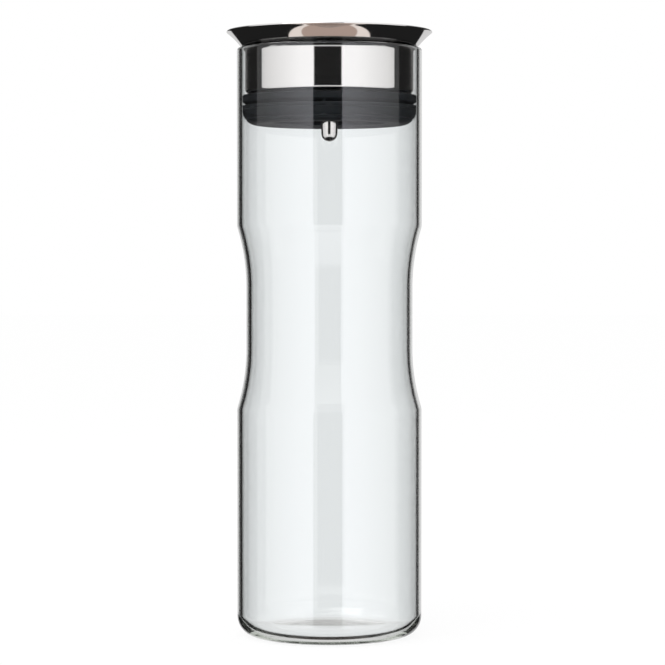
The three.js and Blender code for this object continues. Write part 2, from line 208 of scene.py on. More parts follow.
class SharedEffects:
    """Surface effects that several finishes use, each one shader node group."""

    ring_drift: float = 0.0012
    haze_edge: float = 0.25
    # Unevenness of the painted highlight on sharp edges
    edge_highlight_unevenness: Ramp = Ramp(0.25, 0.6, 0.7, 1.0)

    def __init__(self) -> None:
        """Builds the groups."""
        self.spun = self._spun()
        self.grain = self._grain()
        self.haze = self._haze()
        self.edge_highlight = self._edge_highlight()

    @staticmethod
    def _texture(name: str) -> GroupSheet:
        """Starts a group that _textured ends."""
        return GroupSheet(name, ("Scale", "Roughness", "Spread"), ("Roughness", "Height"))

    @staticmethod
    def _textured(group: GroupSheet, pattern: Socket) -> NodeTree:
        """Puts a pattern out as a height and as a roughness that it spreads round its mean.

        Args:
            group: The group.
            pattern: Socket of the pattern, from 0 to 1.

        Returns:
            The group's node tree.
        """
        offset = group.math("MULTIPLY", group.math("SUBTRACT", pattern, 0.5), group.given["Spread"])
        group.link(group.math("ADD", group.given["Roughness"], offset), group.result, "Roughness")
        group.link(pattern, group.result, "Height")
        return group.tree

    def _spun(self) -> NodeTree:
        """Fine rings left by spinning and polishing, round the object's axis.

        Returns:
            The group's node tree.
        """
        group = self._texture("spun_marks")
        x, y, z = group.add("SeparateXYZ", i0=group.coordinates()).outputs
        squares = [group.math("MULTIPLY", axis, axis) for axis in (x, y)]
        across = group.math("SQRT", group.math("ADD", *squares))
        drift = group.math("MULTIPLY", group.math("ARCTAN2", y, x), self.ring_drift)
        rings = group.add("CombineXYZ", i0=across, i1=z, i2=drift).outputs[0]
        return self._textured(group, group.noise(rings, group.given["Scale"], detail=3.0, roughness=0.6))

    def _grain(self) -> NodeTree:
        """Even fine grain of a moulded surface.

        Returns:
            The group's node tree.
        """
        group = self._texture("moulded_grain")
        pattern = group.noise(group.coordinates(), group.given["Scale"], detail=4.0, roughness=0.65)
        return self._textured(group, pattern)

    def _haze(self) -> NodeTree:
        """Soft patches where a surface has been handled and wiped.

        Returns:
            The group's node tree.
        """
        group = GroupSheet("handling_haze", ("Scale", "Cover"), ("Mask",))
        pattern = group.noise(group.coordinates(), group.given["Scale"], detail=2.0)
        over = group.math("SUBTRACT", pattern, group.math("SUBTRACT", 1.0, group.given["Cover"]))
        group.link(group.span(over, 0.0, self.haze_edge, smooth=True), group.result, "Mask")
        return group.tree

    def _edge_highlight(self) -> NodeTree:
        """Painted highlight: edges that stand out are painted paler, a little unevenly.

        Returns:
            The group's node tree.
        """
        group = GroupSheet("painted_edge_highlight", ("Start", "End", "Scale"), ("Mask",))
        # Pointiness picks out convex edges, which get a painted highlight in their colour
        edge = group.add("NewGeometry").outputs["Pointiness"]
        highlighted = group.span(edge, group.given["Start"], group.given["End"])
        pattern = group.noise(group.coordinates(), group.given["Scale"], detail=2.0)
        uneven = group.ramp(pattern, self.edge_highlight_unevenness)
        group.link(group.math("MULTIPLY", highlighted, uneven), group.result, "Mask")
        return group.tree


def new_material(name: str) -> tuple[Material, NodeSheet, Node]:
    """Starts a material with nothing but its output.

    Args:
        name: The material's name.

    Returns:
        The material, its node sheet and its output node.
    """
    material = bpy.data.materials.new(name)
    material.use_nodes = True
    sheet = NodeSheet(material.node_tree)
    return material, sheet, sheet.add("OutputMaterial")


@dataclass(frozen=True)
class ClearGlass:
    """Colourless blown glass, a trace green through its thickness."""

    name: str = "clear_glass"
    ior: float = 1.47
    body_colour: Colour = (0.68, 0.75, 0.64, 1.0)
    body_density: float = 9.0
    haze_scale: float = 22.0
    haze_cover: float = 0.4
    haze_roughness: float = 0.012
    wave_scale: float = 26.0
    wave_height: float = 0.008 * MM
    wave_strength: float = 0.5

    def material(self, effects: SharedEffects) -> Material:
        """Builds the finish.

        Args:
            effects: The shared surface effects.

        Returns:
            The material.
        """
        material, sheet, output = new_material(self.name)
        haze = sheet.add("Group", {"node_tree": effects.haze}, Scale=self.haze_scale, Cover=self.haze_cover)
        roughness = sheet.math("MULTIPLY", haze.outputs["Mask"], self.haze_roughness)
        waves = sheet.noise(sheet.coordinates(), self.wave_scale, detail=1.0)
        bump = sheet.add("Bump", Strength=self.wave_strength, Distance=self.wave_height, Height=waves)
        shader = sheet.add("BsdfPrincipled", Base_Color=WHITE, Roughness=roughness, IOR=self.ior,
                           Normal=bump.outputs[0], Transmission_Weight=1.0)
        inside = sheet.add("VolumeAbsorption", Color=self.body_colour, Density=self.body_density)
        sheet.link(shader.outputs[0], output, "Surface")
        sheet.link(inside.outputs[0], output, "Volume")
        return material


@dataclass(frozen=True)
class PolishedSteel:
    """Stainless steel with a mirror polish over faint spinning rings."""

    name: str = "polished_steel"
    colour: Colour = (0.86, 0.845, 0.84, 1.0)
    worn_colour: Colour = (0.83, 0.815, 0.81, 1.0)
    roughness: float = 0.05
    spread: float = 0.05
    ring_scale: float = 2600.0
    ring_height: float = 0.0006 * MM
    ring_strength: float = 0.4
    haze_scale: float = 38.0
    haze_cover: float = 0.45
    haze_roughness: float = 0.02

    def material(self, effects: SharedEffects) -> Material:
        """Builds the finish.

        Args:
            effects: The shared surface effects.

        Returns:
            The material.
        """
        material, sheet, output = new_material(self.name)
        rings = sheet.add("Group", {"node_tree": effects.spun}, Scale=self.ring_scale,
                          Roughness=self.roughness, Spread=self.spread)
        haze = sheet.add("Group", {"node_tree": effects.haze}, Scale=self.haze_scale, Cover=self.haze_cover)
        colour = sheet.blend(haze.outputs["Mask"], self.colour, self.worn_colour)
        wiped = sheet.math("MULTIPLY", haze.outputs["Mask"], self.haze_roughness)
        roughness = sheet.math("ADD", rings.outputs["Roughness"], wiped)
        bump = sheet.add("Bump", Strength=self.ring_strength, Distance=self.ring_height,
                         Height=rings.outputs["Height"])
        shader = sheet.add("BsdfPrincipled", Base_Color=colour, Metallic=1.0, Roughness=roughness,
                           Normal=bump.outputs[0])
        sheet.link(shader.outputs[0], output, "Surface")
        return material


@dataclass(frozen=True)
class MouldedBlack:
    """A black moulded piece, soft and matt or hard and satin."""

    name: str
    colour: Colour
    bloom_colour: Colour
    # Paler colour of the painted highlight on sharp edges, with its edge range and noise scale below
    edge_highlight_colour: Colour
    roughness: float
    spread: float
    sheen: float
    grain_scale: float
    grain_height: float
    grain_strength: float = 0.5
    bloom_scale: float = 60.0
    bloom_cover: float = 0.5
    edge_highlight_start: float = 0.51
    edge_highlight_end: float = 0.56
    edge_highlight_scale: float = 150.0

    def material(self, effects: SharedEffects) -> Material:
        """Builds the finish.

        Args:
            effects: The shared surface effects.

        Returns:
            The material.
        """
        material, sheet, output = new_material(self.name)
        grain = sheet.add("Group", {"node_tree": effects.grain}, Scale=self.grain_scale,
                          Roughness=self.roughness, Spread=self.spread)
        bloom = sheet.add("Group", {"node_tree": effects.haze}, Scale=self.bloom_scale,
                          Cover=self.bloom_cover)
        edge_highlight = sheet.add("Group", {"node_tree": effects.edge_highlight}, Start=self.edge_highlight_start, End=self.edge_highlight_end,
                        Scale=self.edge_highlight_scale)
        colour = sheet.blend(bloom.outputs["Mask"], self.colour, self.bloom_colour)
        # Painted highlight: convex edges are painted in a paler colour
        colour = sheet.blend(edge_highlight.outputs["Mask"], colour, self.edge_highlight_colour)
        bump = sheet.add("Bump", Strength=self.grain_strength, Distance=self.grain_height,
                         Height=grain.outputs["Height"])
        shader = sheet.add("BsdfPrincipled", Base_Color=colour, Roughness=grain.outputs["Roughness"],
                           Specular_IOR_Level=self.sheen, Normal=bump.outputs[0])
        sheet.link(shader.outputs[0], output, "Surface")
        return material


SILICONE = MouldedBlack(
    name="black_silicone",
    colour=(0.018, 0.0208, 0.0252, 1.0),
    bloom_colour=(0.0225, 0.026, 0.0315, 1.0),
    # Paler colour painted on the edges as a highlight
    edge_highlight_colour=(0.05, 0.055, 0.064, 1.0),
    roughness=0.6,
    spread=0.16,
    sheen=0.25,
    grain_scale=5200.0,
    grain_height=0.012 * MM,
)
PLASTIC = MouldedBlack(
    name="black_plastic",
    colour=(0.012, 0.012, 0.0125, 1.0),
    bloom_colour=(0.017, 0.017, 0.018, 1.0),
    # Paler colour painted on the edges as a highlight
    edge_highlight_colour=(0.026, 0.026, 0.027, 1.0),
    roughness=0.36,
    spread=0.12,
    sheen=0.4,
    grain_scale=7600.0,
    grain_height=0.006 * MM,
)


@dataclass
class Outline:
    """A half section in the plane of radius and height, drawn point by point."""

    points: list[Point] = field(default_factory=list)

    def to(self, radius: float, height: float) -> "Outline":
        """Adds a point, unless the outline already ends there.

        Args:
            radius: Its distance from the axis.
            height: Its height.

        Returns:
            The outline itself.
        """
        last = self.points[-1] if self.points else None
        if last is None or math.dist(last, (radius, height)) > MERGE_DISTANCE:
            self.points.append((radius, height))
        return self

    def arc(self, centre: Point, radius: float, start: float, end: float,
            error: float = CHORD_ERROR) -> "Outline":
        """Adds a circular arc.

        Args:
            centre: Radius and height of its centre.
            radius: Its own radius.
            start: Angle of its first point, in degrees from outwards.
            end: Angle of its last point.
            error: How far its chords may lie from it.

        Returns:
            The outline itself.
        """
        sweep = math.radians(end - start)
        widest = 2 * math.acos(max(-1.0, 1 - error / radius))
        steps = max(2, math.ceil(abs(sweep) / widest), math.ceil(abs(sweep) * radius / LONGEST_CHORD))
        for step in range(steps + 1):
            angle = math.radians(start) + sweep * step / steps
            self.to(centre[0] + radius * math.cos(angle), centre[1] + radius * math.sin(angle))
        return self

    def guarded(self, distance: float) -> "Outline":
        """Adds a point near both ends of every long straight run, which keeps the shading of its face flat.

        Args:
            distance: How far from the ends they lie.

        Returns:
            The outline with these points.
        """
        guarded = Outline()
        on_axis = self.points[0][0] < MERGE_DISTANCE
        ends = self.points[1:] if on_axis else self.points[1:] + self.points[:1]
        for start, end in zip(self.points, ends):
            length = math.dist(start, end)
            guarded.to(*start)
            if length > max(RUN_PER_GUARD * distance, GUARDED_RUN):
                for share in (distance / length, 1 - distance / length):
                    guarded.to(start[0] + (end[0] - start[0]) * share, start[1] + (end[1] - start[1]) * share)
        return guarded.to(*self.points[-1]) if on_axis else guarded

    def follow(self, points: Iterable[Point]) -> "Outline":
        """Adds a run of points.

        Args:
            points: Radius and height of each.

        Returns:
            The outline itself.
        """
        for radius, height in points:
            self.to(radius, height)
        return self


def finish_mesh(bm: bmesh.types.BMesh, name: str) -> Piece:
    """Turns a bmesh into a smooth-shaded object at the origin.

    Args:
        bm: The finished bmesh, which is freed.
        name: Name of the object.

    Returns:
        The object.
    """
    bmesh.ops.recalc_face_normals(bm, faces=bm.faces)
    for face in bm.faces:
        face.smooth = True
    mesh = bpy.data.meshes.new(name)
    bm.to_mesh(mesh)
    bm.free()
    piece = bpy.data.objects.new(name, mesh)
    bpy.context.scene.collection.objects.link(piece)
    return piece


def soften(bm: bmesh.types.BMesh, width: float, segments: int = 3, sharpest: float = 24.0) -> None:
    """Rounds every edge that is sharper than a limit.

    Args:
        bm: The bmesh.
        width: Width of the rounding.
        segments: Steps across it.
        sharpest: The limit, in degrees between the two faces.
    """
    limit = math.radians(sharpest)
    edges = [edge for edge in bm.edges if edge.is_manifold and edge.calc_face_angle(0.0) > limit]
    bmesh.ops.bevel(bm, geom=edges, offset=width, affect="EDGES", segments=segments, profile=0.5, material=-1,
                    clamp_overlap=True)


def turned_bmesh(outline: Outline, steps: int = TURN_STEPS) -> bmesh.types.BMesh:
    """Spins an outline round the axis.

    Args:
        outline: The half section. It closes on itself unless it starts on the axis.
        steps: Steps round the axis.

    Returns:
        The closed bmesh.
    """
    bm = bmesh.new()
    verts = [bm.verts.new((radius, 0.0, height)) for radius, height in outline.points]
    edges = [bm.edges.new(pair) for pair in zip(verts, verts[1:])]
    if outline.points[0][0] > MERGE_DISTANCE:
        edges.append(bm.edges.new((verts[-1], verts[0])))
    bmesh.ops.spin(bm, geom=verts + edges, cent=(0.0, 0.0, 0.0), axis=(0.0, 0.0, 1.0), angle=math.tau,
                   steps=steps, use_merge=True)
    bmesh.ops.remove_doubles(bm, verts=bm.verts, dist=MERGE_DISTANCE)
    bmesh.ops.recalc_face_normals(bm, faces=bm.faces)
    return bm


def turned(name: str, outline: Outline, edge: float = 0.0, steps: int = TURN_STEPS) -> Piece:
    """Makes a turned piece.

    Args:
        name: Name of the piece.
        outline: Its half section.
        edge: Rounding of its sharp edges, none at 0.
        steps: Steps round the axis.

    Returns:
        The piece.
    """
    bm = turned_bmesh(outline.guarded(GUARD_DISTANCE + edge), steps)
    if edge > 0.0:
        soften(bm, edge)
    return finish_mesh(bm, name)


def place(piece: Piece, node: str, body: Body, slot: Slot, finishes: Finishes) -> None:
    """Dresses a piece and puts it in the place of its CAD node.

    Args:
        piece: The piece.
        node: The node that it stands for.
        body: The body that it moves with.
        slot: The record's material slot.
        finishes: The material of each slot.
    """
    piece.data.materials.append(finishes[slot])
    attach(piece, body.value)
    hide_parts(node)
    LOG.info("%s: %d faces on %s", piece.name, len(piece.data.polygons), body.value)


@dataclass
class GlassVessel:
    """The glass: a cylinder with a drawn-in waist, a rounded base and a fire-polished rim."""

    wall: float = 2.5 * MM
    base: float = 3.6 * MM
    base_corner: float = 10.0 * MM
    floor_corner: float = 7.5 * MM
    foot_ring: float = 7.0 * MM
    push_up: float = 0.8 * MM
    waist_middle: float = 163.8 * MM
    waist_depth: float = 4.75 * MM
    waist_straight: float = 31.0 * MM
    waist_arc: float = 105.0 * MM
    shoulder: float = 9.0 * MM

    def __post_init__(self) -> None:
        """Takes the outside sizes from the frame."""
        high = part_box("glass_body")[1]
        self.radius: float = high.x
        self.height: float = high.z

    def _waist(self, inset: float) -> list[Point]:
        """The waist from bottom to top.

        Args:
            inset: How far inside the outer surface it lies.

        Returns:
            Its points.
        """
        reach = self.waist_arc + self.shoulder
        turn = math.degrees(math.acos((reach - self.waist_depth) / reach))
        arc_start = self.waist_straight / 2
        shoulder_start = arc_start + math.sqrt(reach ** 2 - (reach - self.waist_depth) ** 2)
        shoulder = (self.radius - self.shoulder, -shoulder_start)
        hollow = (self.radius - self.waist_depth + self.waist_arc, -arc_start)
        half = Outline().arc(shoulder, self.shoulder - inset, 0.0, turn, FINE_CHORD_ERROR)
        half.arc(hollow, self.waist_arc + inset, 180.0 + turn, 180.0, FINE_CHORD_ERROR)
        lower = [(radius, self.waist_middle + height) for radius, height in half.points]
        upper = [(radius, self.waist_middle - height) for radius, height in reversed(half.points)]
        return lower + upper

    def build(self, finishes: Finishes) -> None:
        """Makes the glass.

        Args:
            finishes: The material of each slot.
        """
        foot_edge = self.radius - self.base_corner
        hollow = foot_edge - self.foot_ring
        curve = (hollow ** 2 + self.push_up ** 2) / (2 * self.push_up)
        hollow_end = math.degrees(math.acos(hollow / curve))
        rim = self.wall / 2
        inner_corner = (self.radius - self.wall - self.floor_corner, self.base + self.floor_corner)
        outline = Outline().to(0.0, self.push_up)
        outline.arc((0.0, self.push_up - curve), curve, 90.0, hollow_end)
        outline.arc((foot_edge, self.base_corner), self.base_corner, -90.0, 0.0)
        outline.follow(self._waist(0.0))
        outline.arc((self.radius - rim, self.height - rim), rim, 0.0, 180.0)
        outline.follow(reversed(self._waist(self.wall)))
        outline.arc(inner_corner, self.floor_corner, 0.0, -90.0)
        outline.to(0.0, self.base)
        piece = turned("carafe_glass", outline, steps=GLASS_STEPS)
        place(piece, "glass_body", Body.VESSEL, Slot.GLASS, finishes)


@dataclass
class PouringLid:
    """The plug in the neck: steel collar and funnel on a moulded core, with a soft sleeve below."""

    sheet: float = 0.9 * MM
    curl: float = 2.0 * MM
    flange: float = 3.4 * MM
    lip_fillet: float = 1.8 * MM
    lip_angle: float = 43.0
    lip_sweep: float = 42.0 * MM
    liner_sheet: float = 0.8 * MM
    liner_rim: float = 0.8 * MM
    liner_bend: float = 1.2 * MM
    seat_bore: float = 25.5 * MM
    seat_width: float = 6.0 * MM
    seat_height: float = 294.1 * MM
    seat_bend: float = 1.2 * MM
    core_wall: float = 3.0 * MM
    core_flange: float = 2.7 * MM
    core_chamfer: float = 0.8 * MM
    seal_section: float = 0.8 * MM
    groove_depth: float = 1.2 * MM
    groove_width: float = 2.8 * MM
    groove_height: float = 4.8 * MM
    sleeve_floor: float = 2.8 * MM
    sleeve_reach: float = 9.5 * MM
    sleeve_corner: float = 7.0 * MM
    sleeve_dish: float = 1.6 * MM
    sleeve_lip: float = 2.8 * MM
    sleeve_chamfer: float = 0.5 * MM
    lower_lip: float = 2.5 * MM
    lip_notch: float = 2.0 * MM
    mould_line: float = 0.4 * MM
    mould_line_angle: float = -42.0
    sheet_edge: float = 0.12 * MM
    core_edge: float = 0.2 * MM
    sleeve_edge: float = 0.25 * MM
    clearance: float = 0.3 * MM

    def __post_init__(self) -> None:
        """Takes places and outside sizes from the frame."""
        collar_low, collar_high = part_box("pouring_collar")
        core_low, core_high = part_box("lid_core")
        seal_low, seal_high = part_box("collar_seal_ring")
        self.band_foot: float = collar_low.z
        self.lip_edge: float = collar_high.x
        self.lip_top: float = collar_high.z
        self.core_foot: float = core_low.z
        self.core_radius: float = core_high.x
        self.core_top: float = core_high.z
        self.band: float = self.core_radius + self.clearance + self.sheet
        self.barrel: float = self.band - self.flange - self.clearance
        self.seal_height: float = (seal_low.z + seal_high.z) / 2

    def _fillet_height(self) -> float:
        """Height where the band ends and the fillet under the lip starts.

        Returns:
            The height.
        """
        half = self.sheet / 2
        angle = math.radians(self.lip_angle)
        sideways = self.band + self.lip_fillet - (self.lip_edge - half)
        return self.lip_top - half + (sideways * math.cos(angle) - self.lip_fillet - half) / math.sin(angle)

    def _collar(self) -> Outline:
        """Half section of the steel collar, whose lip sweeps outwards in a shallow curve.

        Returns:
            The outline.
        """
        half = self.sheet / 2
        fillet = (self.band + self.lip_fillet, self._fillet_height())
        edge = (self.lip_edge - half, self.lip_top - half)
        curl = (self.band - self.curl, self.band_foot + self.curl)
        lip = 180.0 - self.lip_angle
        run = Vector(edge) - Vector(fillet)
        near, far = self.lip_sweep - self.lip_fillet, self.lip_sweep + half
        turn = math.acos((far ** 2 + near ** 2 - run.length_squared) / (2 * far * near))
        lean = math.atan2(run.y, run.x) + math.atan2(far * math.sin(turn), far * math.cos(turn) - near)
        lower, upper = math.degrees(lean), math.degrees(lean - turn)
        sweep = (fillet[0] - near * math.cos(lean), fillet[1] - near * math.sin(lean))
        outline = Outline().to(self.band - self.flange, self.band_foot)
        outline.arc(curl, self.curl, -90.0, 0.0)
        outline.arc(fillet, self.lip_fillet, 180.0, lower)
        outline.arc(sweep, self.lip_sweep, lower, upper, FINE_CHORD_ERROR)
        outline.arc(edge, half, upper - 180.0, lip)
        outline.arc(fillet, self.lip_fillet + self.sheet, lip, 180.0)
        outline.arc(curl, self.curl - self.sheet, 0.0, -90.0)
        return outline.to(self.band - self.flange, self.band_foot + self.sheet)

    def _liner(self) -> Outline:
        """Half section of the pressed funnel.

        Returns:
            The outline.
        """
        low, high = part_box("funnel_liner")
        outer = high.x
        inner = outer - self.liner_sheet
        bend = (inner - self.liner_bend, high.z - self.liner_rim)
        seat_edge = self.seat_bore + self.seat_width
        run = Vector((bend[0] - seat_edge, bend[1] - self.seat_height))
        slope = math.atan2(run.y, run.x) - math.asin(self.liner_bend / run.length)
        tilt = math.degrees(slope) - 90.0
        lip = (self.seat_bore + self.seat_bend, self.seat_height - self.seat_bend)
        outline = Outline().to(self.seat_bore + self.liner_sheet, low.z)
        outline.arc(lip, self.seat_bend - self.liner_sheet, 180.0, 90.0)
        outline.to(seat_edge + self.liner_sheet * math.tan(slope / 2), self.seat_height - self.liner_sheet)
        outline.arc(bend, self.liner_bend + self.liner_sheet, tilt, 0.0)
        outline.to(outer, high.z).to(inner, high.z)
        outline.arc(bend, self.liner_bend, 0.0, tilt)
        outline.to(seat_edge, self.seat_height)
        outline.arc(lip, self.seat_bend, 90.0, 180.0)
        return outline.to(self.seat_bore, low.z)

    def _core(self) -> Outline:
        """Half section of the moulded core.

        Returns:
            The outline.
        """
        shoulder = self.band_foot + self.sheet + self.clearance
        groove = self.core_foot + self.groove_height
        seal = self.core_radius - 2 * self.seal_section - self.clearance
        seal_half = self.seal_section + self.clearance
        bore = self.seat_bore + self.liner_sheet + self.clearance
        inside = self.barrel - self.core_wall
        outline = Outline().to(inside, self.core_foot).to(self.barrel, self.core_foot)
        outline.to(self.barrel, groove).to(self.barrel - self.groove_depth, groove)
        outline.to(self.barrel - self.groove_depth, groove + self.groove_width)
        outline.to(self.barrel, groove + self.groove_width).to(self.barrel, shoulder)
        outline.to(self.core_radius - self.core_chamfer, shoulder)
        outline.to(self.core_radius, shoulder + self.core_chamfer)
        outline.to(self.core_radius, self.seal_height - seal_half).to(seal, self.seal_height - seal_half)
        outline.to(seal, self.seal_height + seal_half).to(self.core_radius, self.seal_height + seal_half)
        outline.to(self.core_radius, self.core_top).to(bore, self.core_top)
        outline.to(bore, self.core_top - self.core_flange)
        return outline.to(inside, self.core_top - self.core_flange)

    def _seal(self) -> Outline:
        """Section of the seal ring.

        Returns:
            The outline.
        """
        centre = (self.core_radius - self.seal_section, self.seal_height)
        outline = Outline().arc(centre, self.seal_section, 0.0, 360.0)
        outline.points.pop()
        return outline

    def _sleeve(self) -> Outline:
        """Half section of the stopper sleeve, with its two lips and two mould lines.

        Returns:
            The outline.
        """
        low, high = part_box("stopper_sleeve")
        lip, foot, top = high.x, low.z, high.z
        inside = self.barrel + self.clearance
        corner = foot + self.sleeve_corner
        root = corner + self.lower_lip
        groove = self.core_foot + self.groove_height
        bead = (groove + self.clearance, groove + self.groove_width - self.clearance)
        floor = (inside - self.sleeve_reach, foot + self.sleeve_floor)
        centre = (lip - self.sleeve_corner, corner)
        line, line_angle = self.mould_line, self.mould_line_angle
        step = math.degrees(line / self.sleeve_corner)
        outline = Outline().to(floor[0], foot + self.sleeve_dish)
        outline.arc(centre, self.sleeve_corner, -90.0, line_angle - step)
        outline.arc(centre, self.sleeve_corner - line, line_angle, line_angle + step)
        outline.arc(centre, self.sleeve_corner, line_angle + 2 * step, 0.0)
        outline.to(lip, corner + line).to(lip - line, corner + 2 * line).to(lip, corner + 3 * line)
        outline.to(lip, root).to(lip - self.sleeve_lip, root).to(lip, root + self.lip_notch)
        outline.to(lip, top - self.sleeve_chamfer).to(lip - self.sleeve_chamfer, top).to(inside, top)
        outline.to(inside, bead[1]).to(inside - self.groove_depth, bead[1])
        outline.to(inside - self.groove_depth, bead[0]).to(inside, bead[0])
        return outline.to(inside, floor[1]).to(*floor)

    def build(self, finishes: Finishes) -> None:
        """Makes the lid's pieces.

        Args:
            finishes: The material of each slot.
        """
        pieces = (
            (turned("steel_collar", self._collar(), self.sheet_edge), "pouring_collar", Slot.STEEL),
            (turned("steel_funnel", self._liner(), self.sheet_edge), "funnel_liner", Slot.STEEL),
            (turned("moulded_core", self._core(), self.core_edge), "lid_core", Slot.PLASTIC),
            (turned("soft_seal", self._seal()), "collar_seal_ring", Slot.SILICONE),
            (turned("soft_sleeve", self._sleeve(), self.sleeve_edge), "stopper_sleeve", Slot.SILICONE),
        )
        for piece, node, slot in pieces:
            place(piece, node, Body.LID, slot, finishes)


@dataclass
class TiltingCap:
    """The cap that tilts open: steel cover, carrier, gasket and guide, with the weight on its stem."""

    sheet: float = 0.8 * MM
    bend: float = 1.5 * MM
    crown: float = 1.6 * MM
    gasket_width: float = 3.9 * MM
    boss: float = 6.5 * MM
    plate: float = 1.2 * MM
    bolt: float = 2.2 * MM
    bolt_head: float = 1.6 * MM
    arms: int = 3
    arm_width: float = 5.0 * MM
    arm_height: float = 2.0 * MM
    arm_root: float = 1.0 * MM
    hub: float = 7.0 * MM
    hub_height: float = 4.0 * MM
    post_thickness: float = 3.0 * MM
    post_outside: float = 24.3 * MM
    hook: float = 27.5 * MM
    pin_bore: float = 12.0 * MM
    pin_end: float = 4.15 * MM
    pin_taper: float = 3.0
    cover_edge: float = 0.12 * MM
    carrier_edge: float = 0.2 * MM
    gasket_edge: float = 0.3 * MM
    guide_edge: float = 0.3 * MM
    stem_edge: float = 0.2 * MM
    washer_edge: float = 0.1 * MM
    clearance: float = 0.3 * MM

    @property
    def bolt_hole(self) -> float:
        """Radius of the hole that the bolt passes."""
        return self.bolt + self.clearance

    def _cover(self) -> Outline:
        """Half section of the domed cover.

        Returns:
            The outline.
        """
        low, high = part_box("closing_cap")
        bend = (high.x - self.bend, high.z - self.crown - self.bend)
        curve = (bend[0] ** 2 + self.crown ** 2) / (2 * self.crown)
        edge = math.degrees(math.acos(bend[0] / curve))
        centre = (0.0, high.z - curve)
        outline = Outline().to(0.0, high.z - self.sheet)
        outline.arc(centre, curve - self.sheet, 90.0, edge)
        outline.arc(bend, self.bend - self.sheet, 90.0, 0.0)
        outline.to(high.x - self.sheet, low.z).to(high.x, low.z)
        outline.arc(bend, self.bend, 0.0, 90.0)
        outline.arc(centre, curve, edge, 90.0)
        return outline.to(0.0, high.z)

    def _carrier(self) -> Outline:
        """Half section of the carrier plate with its boss.

        Returns:
            The outline.
        """
        low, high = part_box("cap_carrier")
        gasket_low, gasket_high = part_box("disc_gasket")
        washer_low, washer_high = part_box("stem_washer")
        spigot = gasket_high.x - self.gasket_width - self.clearance
        spigot_foot = gasket_low.z + self.clearance
        recess = washer_high.x + self.clearance
        recess_floor = washer_low.z - self.clearance
        outline = Outline().to(self.bolt_hole, low.z).to(self.boss, low.z).to(self.boss, spigot_foot)
        outline.to(spigot, spigot_foot).to(spigot, high.z - self.plate).to(high.x, high.z - self.plate)
        outline.to(high.x, high.z).to(recess, high.z).to(recess, recess_floor)
        return outline.to(self.bolt_hole, recess_floor)

    @staticmethod
    def _ring(node: str, inside: float) -> Outline:
        """Section of a plain ring in the place of a node, round a hole of the given radius."""
        low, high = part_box(node)
        return Outline().to(inside, low.z).to(high.x, low.z).to(high.x, high.z).to(inside, high.z)

    def _guide(self) -> Piece:
        """Makes the guide: a hub with arms that end in a post and a hook.

        Returns:
            The piece.
        """
        low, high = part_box("guide_spider")
        hub_top = low.z + self.hub_height
        arm_top = low.z + self.arm_height
        post_inside = self.post_outside - self.post_thickness
        hub = Outline().to(self.bolt_hole, low.z).to(self.hub, low.z)
        hub.to(self.hub, hub_top).to(self.bolt_hole, hub_top)
        bm = turned_bmesh(hub, STEM_STEPS)
        for arm in range(self.arms):
            turn = Matrix.Rotation((2 * arm + 1) * math.pi / self.arms, 4, "Z")
            self._bar(bm, turn, (self.hub - self.arm_root, self.hook), (low.z, arm_top))
            self._bar(bm, turn, (post_inside, self.post_outside), (arm_top, high.z))
        soften(bm, self.guide_edge)
        return finish_mesh(bm, "guide_arms")

    def _bar(self, bm: bmesh.types.BMesh, turn: Matrix, along: Point, heights: Point) -> None:
        """Adds a straight bar of the guide.

        Args:
            bm: The guide's bmesh.
            turn: Its turn round the axis.
            along: Its inner and outer radius.
            heights: Its foot and top.
        """
        middle = Vector((sum(along) / 2, 0.0, sum(heights) / 2))
        size = Vector((along[1] - along[0], self.arm_width, heights[1] - heights[0]))
        matrix = turn @ Matrix.Translation(middle) @ Matrix.Diagonal(size).to_4x4()
        bmesh.ops.create_cube(bm, size=1.0, matrix=matrix)

    def _bolt(self) -> Outline:
        """Half section of the stem bolt.

        Returns:
            The outline.
        """
        low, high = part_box("stem_bolt")
        outline = Outline().to(0.0, low.z).to(self.bolt, low.z).to(self.bolt, high.z - self.bolt_head)
        return outline.to(high.x, high.z - self.bolt_head).to(high.x, high.z).to(0.0, high.z)

    def _pin(self) -> Outline:
        """Half section of the weight, with its round end.

        Returns:
            The outline.
        """
        low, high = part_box("counterweight_pin")
        bore_end = high.z - self.pin_bore
        outline = Outline().to(0.0, low.z)
        outline.arc((0.0, low.z + self.pin_end), self.pin_end, -90.0, -self.pin_taper)
        outline.to(high.x, high.z).to(self.bolt_hole, high.z)
        return outline.to(self.bolt_hole, bore_end).to(0.0, bore_end)

    def build(self, finishes: Finishes) -> None:
        """Makes the cap's pieces.

        Args:
            finishes: The material of each slot.
        """
        gasket = self._ring("disc_gasket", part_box("disc_gasket")[1].x - self.gasket_width)
        washer = self._ring("stem_washer", self.bolt_hole)
        pin = self._pin()
        pieces = (
            (turned("steel_cover", self._cover(), self.cover_edge), "closing_cap", Slot.STEEL),
            (turned("moulded_carrier", self._carrier(), self.carrier_edge), "cap_carrier", Slot.PLASTIC),
            (turned("soft_gasket", gasket, self.gasket_edge), "disc_gasket", Slot.SILICONE),
            (self._guide(), "guide_spider", Slot.PLASTIC),
            (turned("stem_screw", self._bolt(), self.stem_edge, STEM_STEPS), "stem_bolt", Slot.STEEL),
            (turned("stem_ring", washer, self.washer_edge, STEM_STEPS), "stem_washer", Slot.STEEL),
            (turned("steel_weight", pin, self.stem_edge, STEM_STEPS), "counterweight_pin", Slot.STEEL),
        )
        for piece, node, slot in pieces:
            place(piece, node, Body.CLOSURE, slot, finishes)


